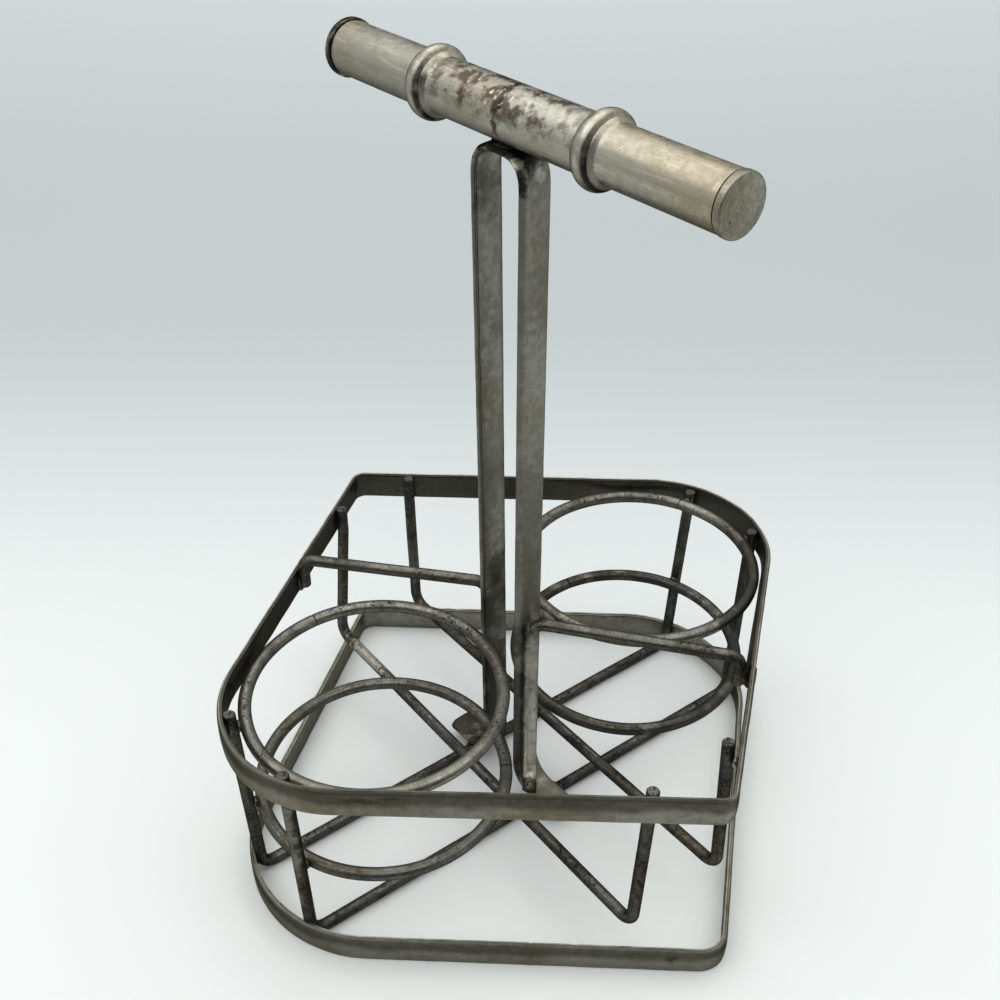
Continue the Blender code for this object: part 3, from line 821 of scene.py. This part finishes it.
def divider_path(side):
    """tail inside the rim, run to the post and down it, and end on the foot, with its bends rounded"""
    facing = FACING[side]
    out = WELD_GAP + WIRE / 2
    rim_height = DIVIDER_RIM_HEIGHT[side]
    rim_end, tail = [
        against_side(stand_off, Y, -facing * DIVIDER_RIM_Y)[0] + UP * height
        for stand_off, height in zip(DIVIDER_STAND_OFF[side], (rim_height, rim_height - DIVIDER_TAIL))]
    centre_up = foot_bend_height(side)
    height = DIVIDER_POST_HEIGHT[side]
    top = at_post(facing * (post_face(side, height) + out), 0.0, height)
    low_out = post_face(side, centre_up) + out
    low = at_post(facing * low_out, 0.0, centre_up)
    path = [tail] + fillet(tail, rim_end, top, DIVIDER_BEND, WIRE_STEP)
    path += fillet(rim_end, top, low, DIVIDER_BEND, WIRE_STEP) + [low]
    bend = FOOT_BEND - out
    for step in range(1, DIVIDER_END_STEPS + 1):
        angle = DIVIDER_END_TURN * step / DIVIDER_END_STEPS
        reach = bend * (1 - cos(angle))
        drift = -facing * DIVIDER_END_DRIFT * reach
        path.append(at_post(facing * (low_out + reach), drift, centre_up - bend * sin(angle)))
    return path


divider_steel = plated_steel(
    "divider_steel", (0.235, 0.225, 0.19), (0.088, 0.084, 0.07), 0.5, 0.64, streaks=0.25,
    stains_and_painted_light=(
        # painted reflection on the leg down the post, brightest low down, here and in the next line
        ((0.0062, -0.0067, 0.034), (0.005, 0.005, 0.032), 70.0, (0.9, 0.87, 0.76), 0.92),
        ((0.0062, -0.0067, 0.056), (0.005, 0.005, 0.026), 70.0, (0.64, 0.615, 0.535), 0.8),
        ((0.028, 0.001, 0.074), (0.018, 0.01, 0.005), 200.0, (0.07, 0.066, 0.056), 0.7),
        ((-0.018, 0.002, 0.0765), (0.015, 0.01, 0.005), 200.0, (0.05, 0.047, 0.04), 0.8),
        # painted reflection on the bend into the foot
        ((0.007, -0.0078, 0.0125), (0.005, 0.005, 0.011), 90.0, (0.96, 0.88, 0.74), 0.92),
        ((0.0066, -0.0072, 0.076), (0.004, 0.004, 0.003), 400.0, RUST, 0.5),
        ((0.07, 0.016, 0.073), (0.01, 0.008, 0.008), 300.0, (0.04, 0.034, 0.028), 0.8),
    ))
for seed, (side, facing) in enumerate(FACING.items(), DIVIDER_SEED):
    name = "divider_" + side
    path = divider_path(side)
    seat(drawn(name + "_wire", path, WIRE, 0.0, seed, divider_steel), name)
    sink = (POST_FRAME.col[0] * facing + UP) * -SEAM_SINK
    seam = [point + sink for point in path[-SEAM_POINTS:]]
    seam.append(seam[-1] + (seam[-1] - seam[-2]).normalized() * SEAM_TAIL + sink)
    piece = drawn(name + "_braze", seam, SEAM_WIDE, 0.0, seed + 10, divider_steel, SEAM_END_SIZE,
                  SEAM_UNEVENNESS)
    seat(piece)


# The handle is a thin nickel plated tube with two beads rolled out of its wall. The plate has dulled to a
# champagne grey, with brown tarnish where the hand and the brazing heat reached it.
TUBE_WALL = 0.0009
TUBE_ENDS = {"left": -0.065, "right": 0.0662}
TUBE_STEP = 0.0012
TUBE_SIDES = 96
TUBE_SHARP_ANGLE = radians(38.0)
BEAD_PLACE = 0.0293
BEAD_HALF_WIDTH = 0.0036
BEAD_RISE = 0.0023
BEAD_STEPS = 40
BEAD_SLOPES = {"left": 0.75, "right": 1.25}
CREASE_PLACE = 0.52
CREASE_DEPTH = 0.0007
CREASE_HALF_WIDTH = 0.0006
SEAM_PLACE = -0.0004


def turned(name, profile, closed, material):
    """a piece turned on the handle's axis from (along, radius) points, with its length kept as its grain"""
    rings, grain = [], []
    for along, radius in profile:
        ring = []
        for side in range(TUBE_SIDES):
            angle = 2 * pi * side / TUBE_SIDES
            spoke = Vector((0.0, radius * cos(angle), radius * sin(angle)))
            ring.append(POST_FRAME @ (Vector((along, 0.0, HANDLE_HEIGHT)) + spoke))
            grain.append((along, spoke.y, spoke.z))
        rings.append(ring)
    piece = skin(name, rings, closed, True, TUBE_SHARP_ANGLE, material)
    keep_on_mesh(piece.data, "grain", grain)
    return piece


def tube_line():
    """places along the tube, close together on its beads"""
    places = [TUBE_ENDS["left"]]
    for facing in FACING.values():
        places += [facing * BEAD_PLACE - BEAD_HALF_WIDTH * cos(pi * step / BEAD_STEPS)
                   for step in range(BEAD_STEPS + 1)]
    places.append(TUBE_ENDS["right"])
    line = []
    for start, end in zip(places, places[1:]):
        count = max(1, ceil((end - start) / TUBE_STEP))
        line += [start + (end - start) * step / count for step in range(count)]
    return line + [places[-1]]


def tube_radius(along):
    """outer radius at a place along the tube, with the crease where each bead's wall was folded over"""
    radius = TUBE_RADIUS
    for facing in FACING.values():
        share = (along - facing * BEAD_PLACE) / BEAD_HALF_WIDTH
        if abs(share) < 1.0:
            radius += BEAD_RISE * (1.0 - share * share) ** BEAD_SLOPES["left" if share < 0 else "right"]
        from_crease = (along - facing * BEAD_PLACE - CREASE_PLACE * BEAD_HALF_WIDTH) / CREASE_HALF_WIDTH
        if abs(from_crease) < 1.0:
            radius -= CREASE_DEPTH * cos(pi / 2 * from_crease) ** 2
    return radius


def tube_shade(colour, place, grain):
    """brown and blistered on top near the post, a dark seam, painted shade in the creases and on the
    underside, and painted highlights on the bead crests
    """
    along, side, height = grain.parts()
    heated = (height - side * 0.35).ramp(0.0005, 0.0048) * abs(along + 0.001).ramp(0.014, 0.038, 1.0, 0.0)
    brown = heated * place.cloud(300.0, 3.0, 0.6).ramp(0.42, 0.62)
    colour = (brown * 0.9).blend(colour, (0.15, 0.1, 0.078))
    # painted shade in the bead creases, stronger on the lower side
    to_crease = abs(abs(along - CREASE_PLACE * BEAD_HALF_WIDTH) - BEAD_PLACE)
    crease_shade = to_crease.ramp(0.0003, 0.001, 1.0, 0.0) * place.cloud(150.0).ramp(0.36, 0.52, 0.25, 0.95)
    crease_shade = crease_shade * height.ramp(-0.001, 0.007, 1.0, 0.3)
    colour = crease_shade.blend(colour, (0.04, 0.034, 0.027))
    # painted highlight along the bead crests
    to_crest = abs(abs(along) - BEAD_PLACE)
    crest_highlight = to_crest.ramp(0.0004, 0.0014, 0.6, 0.0) * place.cloud(260.0).ramp(0.4, 0.6)
    colour = crest_highlight.blend(colour, (0.85, 0.82, 0.71))
    from_seam = abs(along - SEAM_PLACE) + (place.cloud(420.0) - 0.5) * 0.006
    seam = from_seam.ramp(0.0004, 0.0013, 1.0, 0.0) * height.ramp(-0.006, -0.001)
    colour = (seam * 0.85).blend(colour, (0.062, 0.036, 0.026))
    specks = place.cloud(520.0).ramp(0.6, 0.67) * heated
    colour = specks.blend(colour, (0.86, 0.8, 0.68))
    # painted shade: the whole tube darker towards its underside
    return colour.scaled(height.ramp(-0.0072, 0.0025, 0.5, 1.0))


tube_nickel = plated_steel(
    "tube_nickel", (0.69, 0.66, 0.556), (0.575, 0.548, 0.458), 0.42, 0.27, streaks=0.5, relief=0.00006,
    shade=tube_shade)
profile = [(along, tube_radius(along)) for along in tube_line()]
profile += [(along, radius - TUBE_WALL) for along, radius in reversed(profile)]
seat(turned("handle_tube_rolled", profile, True, tube_nickel), "handle_tube")


# The caps are pressed discs that close the tube's ends. A spigot holds each one inside the tube. Its face is
# slightly dished, with a rounded edge that stands just proud of the tube.
CAP_THICKNESS = 0.002
CAP_OVERHANG = {"left": 0.0006, "right": 0.0002}
CAP_EDGE = 0.0006
CAP_EDGE_STEPS = 6
CAP_BACK_EDGE = 0.0002
CAP_SPIGOT = 0.004
CAP_DISH = 0.0003

cap_nickel = plated_steel(
    "cap_nickel", (0.55, 0.542, 0.478), (0.41, 0.404, 0.352), 0.5, 0.34, streaks=0.0, relief=0.00006,
    stains_and_painted_light=(((-0.0452, 0.0485, 0.2263), (0.012, 0.012, 0.012), 120.0, (0.05, 0.034, 0.026), 0.94),))
for side, facing in FACING.items():
    rim_radius = TUBE_RADIUS + CAP_OVERHANG[side]
    spigot = TUBE_RADIUS - TUBE_WALL - WELD_GAP
    start = TUBE_ENDS[side] + facing * WELD_GAP
    face = start + facing * CAP_THICKNESS
    profile = [(start - facing * CAP_SPIGOT, spigot), (start, spigot), (start, rim_radius - CAP_BACK_EDGE),
               (start + facing * CAP_BACK_EDGE, rim_radius)]
    for step in range(CAP_EDGE_STEPS + 1):
        angle = pi / 2 * step / CAP_EDGE_STEPS
        along = face - facing * CAP_EDGE * (1 - sin(angle))
        profile.append((along, rim_radius - CAP_EDGE * (1 - cos(angle))))
    for share in (0.86, 0.8, 0.7, 0.45, 0.2, 0.02):
        dish = CAP_DISH * min(1.0, (0.9 - share) / 0.2)
        profile.append((face - facing * dish, rim_radius * share))
    if side == "left":
        profile.reverse()
    cap = turned("handle_cap_{}_disc".format(side), profile, False, cap_nickel)
    seat(cap, "handle_cap_" + side)


# The brazed joints. Where two pieces touch, a bead of brass and flux ran into the corner between them and
# was plated over with the rest, so each is a small dull lump.
LUMP_UNEVENNESS = 0.0005
LUMP_THIN = 0.0009
LUMP_SIDE = 0.0015
FLOOR_WIRE_JOINTS = ((TOP_RIM, 0.0672, 0.0036), (BOTTOM_RIM, 0.0062, 0.0028))
RIM_JOINT_HEIGHT = 0.0665
RIM_JOINT_SHARE = 0.42
TOUCHING = 0.001
FOOT_JOINT_SHARE = 0.47
BEND_LUMP = Vector((0.009, 0.0016, 0.07))
BEND_LUMP_WAY = Vector((0.78, -0.63, 0.0))
CROWN_JOINT_DROP = 0.0002
POOL_OUT = 0.0024
POOL_HEIGHT = 0.0645


def brazed_lumps():
    """one uneven lump on each point, with the point's size and turn"""
    inputs = {"Geometry": "Geometry", "Unevenness": "Float", "Seed": "Float", "Finish": "Material"}
    tree, given, result = new_group("brazed_lumps", "GeometryNodeTree", inputs, {"Geometry": "Geometry"})
    size, turn = [output_of(tree, "GeometryNodeInputNamedAttribute", {"Name": name},
                            data_type="FLOAT_VECTOR") for name in ("size", "turn")]
    laid = given["Geometry"].into("GeometryNodeInstanceOnPoints", {
        "Instance": output_of(tree, "GeometryNodeMeshIcoSphere", {"Radius": 1.0, "Subdivisions": 4}),
        "Rotation": turn.into("FunctionNodeEulerToRotation"), "Scale": size})
    rough = output_of(tree, "ShaderNodeTexNoise", {"W": given["Seed"], "Scale": 520.0, "Detail": 2.0},
                      noise_dimensions="4D")
    normal = output_of(tree, "GeometryNodeInputNormal")
    offset = normal.scaled((rough - 0.5) * given["Unevenness"])
    uneven = laid.into("GeometryNodeRealizeInstances").into("GeometryNodeSetPosition", {"Offset": offset})
    smooth = uneven.into("GeometryNodeSetShadeSmooth", {"Shade Smooth": True})
    feed(result, {0: smooth.into("GeometryNodeSetMaterial", {"Material": given["Finish"]})})
    return tree


BRAZED_LUMPS = brazed_lumps()


def joint(centre, thin, long, size):
    """a joint's place, its turn from a thin and a long way, and its half sizes along thin, side and long"""
    long = long.normalized()
    thin = (thin - long * thin.dot(long)).normalized()
    return centre, Matrix((thin, long.cross(thin), long)).transposed().to_euler(), size


def lumps(name, joints, seed, material):
    """the lumps of one group of joints, as one piece"""
    centres, turns, sizes = zip(*joints)
    mesh = bpy.data.meshes.new(name + "_points")
    mesh.from_pydata(centres, [], [])
    keep_on_mesh(mesh, "size", sizes)
    keep_on_mesh(mesh, "turn", turns)
    piece = grown(name, placed(name + "_points", mesh), BRAZED_LUMPS, unevenness=LUMP_UNEVENNESS,
                  seed=float(seed), finish=material)
    seat(piece)


braze = plated_steel(
    "braze", (0.22, 0.2, 0.162), (0.09, 0.078, 0.062), 0.55, 0.75, streaks=0.0, relief=0.0002,
    # painted shadow on the crown's lump, under the tube
    stains_and_painted_light=(((0.0, 0.0, 0.219), (0.02, 0.02, 0.01), 100.0, (0.022, 0.019, 0.015), 0.95),))
bright_solder = plated_steel("bright_solder", (0.56, 0.55, 0.5), (0.3, 0.29, 0.26), 0.35, 0.4, streaks=0.0,
                             relief=0.00015)

at_rim = []
for ends in FLOOR_WIRE_ENDS.values():
    for end in ends:
        for corners, height, tall in FLOOR_WIRE_JOINTS:
            wire = floor_wire_point(end, height)
            outward = wire - curve_centre(corners, end[0])
            outward.z = 0.0
            at_rim.append((wire, outward.normalized(), (LUMP_THIN, LUMP_SIDE, tall)))
for ends in SHELF_WIRE_ENDS.values():
    for stand_off, axis, reach, foot in ends:
        wire, outward = against_side(stand_off, axis, reach)
        if stand_off < TOUCHING:
            at_rim.append((wire + UP * RIM_JOINT_HEIGHT, outward, (LUMP_THIN, LUMP_SIDE, 0.0032)))
for side, facing in FACING.items():
    stand_off = DIVIDER_STAND_OFF[side][1]
    wire, outward = against_side(stand_off, Y, -facing * DIVIDER_RIM_Y)
    at_rim.append((wire + UP * RIM_JOINT_HEIGHT, outward, (0.0012 + stand_off / 2, 0.0019, 0.0034)))
rim_joints = [joint(wire + outward * WIRE * RIM_JOINT_SHARE, outward, UP, size)
              for wire, outward, size in at_rim]
lumps("rim_joints", rim_joints, 1, braze)

ring_joints = []
for name, (radius, height, rise, joint_angle) in RINGS.items():
    centre = ring_centre(name)
    for wire in ring_uprights(name):
        outward = (wire - centre).normalized()
        touch = wire - outward * (WIRE / 2 + WELD_GAP / 2) + UP * (rise * outward.y * radius)
        ring_joints.append(joint(touch, outward, UP, (0.001, 0.0017, 0.0018)))
lumps("ring_joints", ring_joints, 2, braze)

post_joints = []
for side, facing in FACING.items():
    under = foot_bend_height(side) - FOOT_BEND - POST_STRIP_THICKNESS - WELD_GAP
    for edge in (-1, 1):
        aside = edge * POST_STRIP_WIDTH * FOOT_JOINT_SHARE
        crossing = at_post(facing * floor_wire_offset(side), aside, under)
        post_joints.append(joint(crossing, UP, POST_FRAME.col[0] * facing, (0.0008, 0.0014, 0.0019)))
crown_middle = (POST_FACE_HIGH["right"] - POST_FACE_HIGH["left"]) / 2
crown = at_post(crown_middle, 0.0, HANDLE_HEIGHT - TUBE_RADIUS - CROWN_JOINT_DROP)
post_joints.append(joint(BEND_LUMP, UP, BEND_LUMP_WAY, (0.0018, 0.0021, 0.005)))
post_joints.append(joint(crown, UP, POST_FRAME.col[0], (0.0011, 0.004, 0.0052)))
lumps("post_joints", post_joints, 3, braze)

wire, outward = against_side(*SHELF_WIRE_ENDS["rear"][1][:3])
pool = joint(wire + outward * POOL_OUT + UP * POOL_HEIGHT, outward, UP, (0.0013, 0.0015, 0.002))
lumps("solder_pool", [pool], 4, bright_solder)


# The floor is a plain pale sheet that turns from white near the caddy to a cool grey behind it. The metal
# mirrors it darker, as if it mirrored the room in front of the caddy as well.
FLOOR_REACH = 6.0
FLOOR_NEAR = (0.93, 0.95, 0.935)
FLOOR_FAR = (0.57, 0.6, 0.615)
FLOOR_BACK = (0.74, 0.77, 0.79)
FLOOR_TURN = (-0.02, 0.33)
FLOOR_BACK_TURN = (0.4, 1.1)
MIRRORED_TURN = (-0.34, -0.08)
MIRRORED_FRONT = 0.2
MIRRORED_NEAR = 0.52

floor_mesh = bpy.data.meshes.new("floor")
floor_corners = [(x * FLOOR_REACH, y * FLOOR_REACH, 0.0) for x, y in ((-1, -1), (1, -1), (1, 1), (-1, 1))]
floor_mesh.from_pydata(floor_corners, [], [(0, 1, 2, 3)])
floor_paint = bpy.data.materials.new("floor_paint")
floor_paint.use_nodes = True
tree = floor_paint.node_tree
depth = output_of(tree, "ShaderNodeTexCoord", out="Object").parts()[1]
paint = depth.ramp(*FLOOR_TURN).blend(FLOOR_NEAR, FLOOR_FAR)
paint = depth.ramp(*FLOOR_BACK_TURN).blend(paint, FLOOR_BACK)
mirrored = paint.scaled(depth.ramp(*MIRRORED_TURN, MIRRORED_FRONT, MIRRORED_NEAR))
paint = output_of(tree, "ShaderNodeLightPath", out="Is Glossy Ray").blend(paint, mirrored)
feed(tree.nodes["Principled BSDF"], {"Base Color": paint, "Roughness": 0.9, "Specular IOR Level": 0.1})
floor_mesh.materials.append(floor_paint)
placed("floor", floor_mesh)


# The light is one broad soft lamp above and to the left, and an even pale room that is darker in front.
LAMP_PLACE = Vector((-0.08, -0.07, 1.35))
LAMP_AIM = Vector((0.0, 0.0, 0.08))
LAMP_SIZE = 2.5
LAMP_POWER = 17.0
ROOM = (0.63, 0.663, 0.655)
ROOM_FRONT = (0.07, 0.07, 0.07)
ROOM_FRONT_WAY = (0.1, -0.93, 0.35)
ROOM_FRONT_EDGE = (0.62, 0.88)
ROOM_LIGHT = 1.08
ROOM_MIRRORED = 0.66

lamp = bpy.data.lights.new("ceiling_lamp", "AREA")
lamp.shape = "SQUARE"
lamp.size = LAMP_SIZE
lamp.energy = LAMP_POWER
lamp_object = placed("ceiling_lamp", lamp)
lamp_object.location = LAMP_PLACE
lamp_object.rotation_euler = (LAMP_AIM - LAMP_PLACE).to_track_quat("-Z", "Y").to_euler()
room = bpy.data.worlds.new("room")
room.use_nodes = True
tree = room.node_tree
way = output_of(tree, "ShaderNodeTexCoord", out="Generated")
in_front = way.into("ShaderNodeVectorMath", {1: ROOM_FRONT_WAY}, "Value", operation="DOT_PRODUCT")
rays = by_name(new_node(tree, "ShaderNodeLightPath"))
lit = in_front.ramp(*ROOM_FRONT_EDGE).blend(ROOM, ROOM_FRONT)
feed(tree.nodes["Background"], {
    "Color": rays["Is Camera Ray"].blend(lit, ROOM),
    "Strength": rays["Is Glossy Ray"].ramp(0.0, 1.0, ROOM_LIGHT, ROOM_MIRRORED)})
scene = bpy.context.scene
scene.world = room
scene.view_settings.view_transform = "Standard"


# The camera stands in front of the caddy and looks down on it, as in the photograph.
CAMERA_PLACE = Vector((0.007519, -0.292247, 0.332176))
CAMERA_YAW = 0.042
CAMERA_PITCH = 0.637
CAMERA_ROLL = -0.002
SENSOR_WIDTH = 36.0
LENS = 46.18
SHIFT = (0.00288, -0.00321)

back = Vector((sin(CAMERA_YAW) * cos(CAMERA_PITCH), -cos(CAMERA_YAW) * cos(CAMERA_PITCH), sin(CAMERA_PITCH)))
level = Vector((cos(CAMERA_YAW), sin(CAMERA_YAW), 0.0))
above = back.cross(level)
right_way = level * cos(CAMERA_ROLL) + above * sin(CAMERA_ROLL)
up_way = above * cos(CAMERA_ROLL) - level * sin(CAMERA_ROLL)
lens = bpy.data.cameras.new("photo_view")
lens.sensor_fit = "HORIZONTAL"
lens.sensor_width = SENSOR_WIDTH
lens.lens = LENS
lens.shift_x, lens.shift_y = SHIFT
camera = placed("photo_view", lens)
turn = Matrix((right_way, up_way, back)).transposed()
camera.matrix_world = Matrix.Translation(CAMERA_PLACE) @ turn.to_4x4()
scene.camera = camera
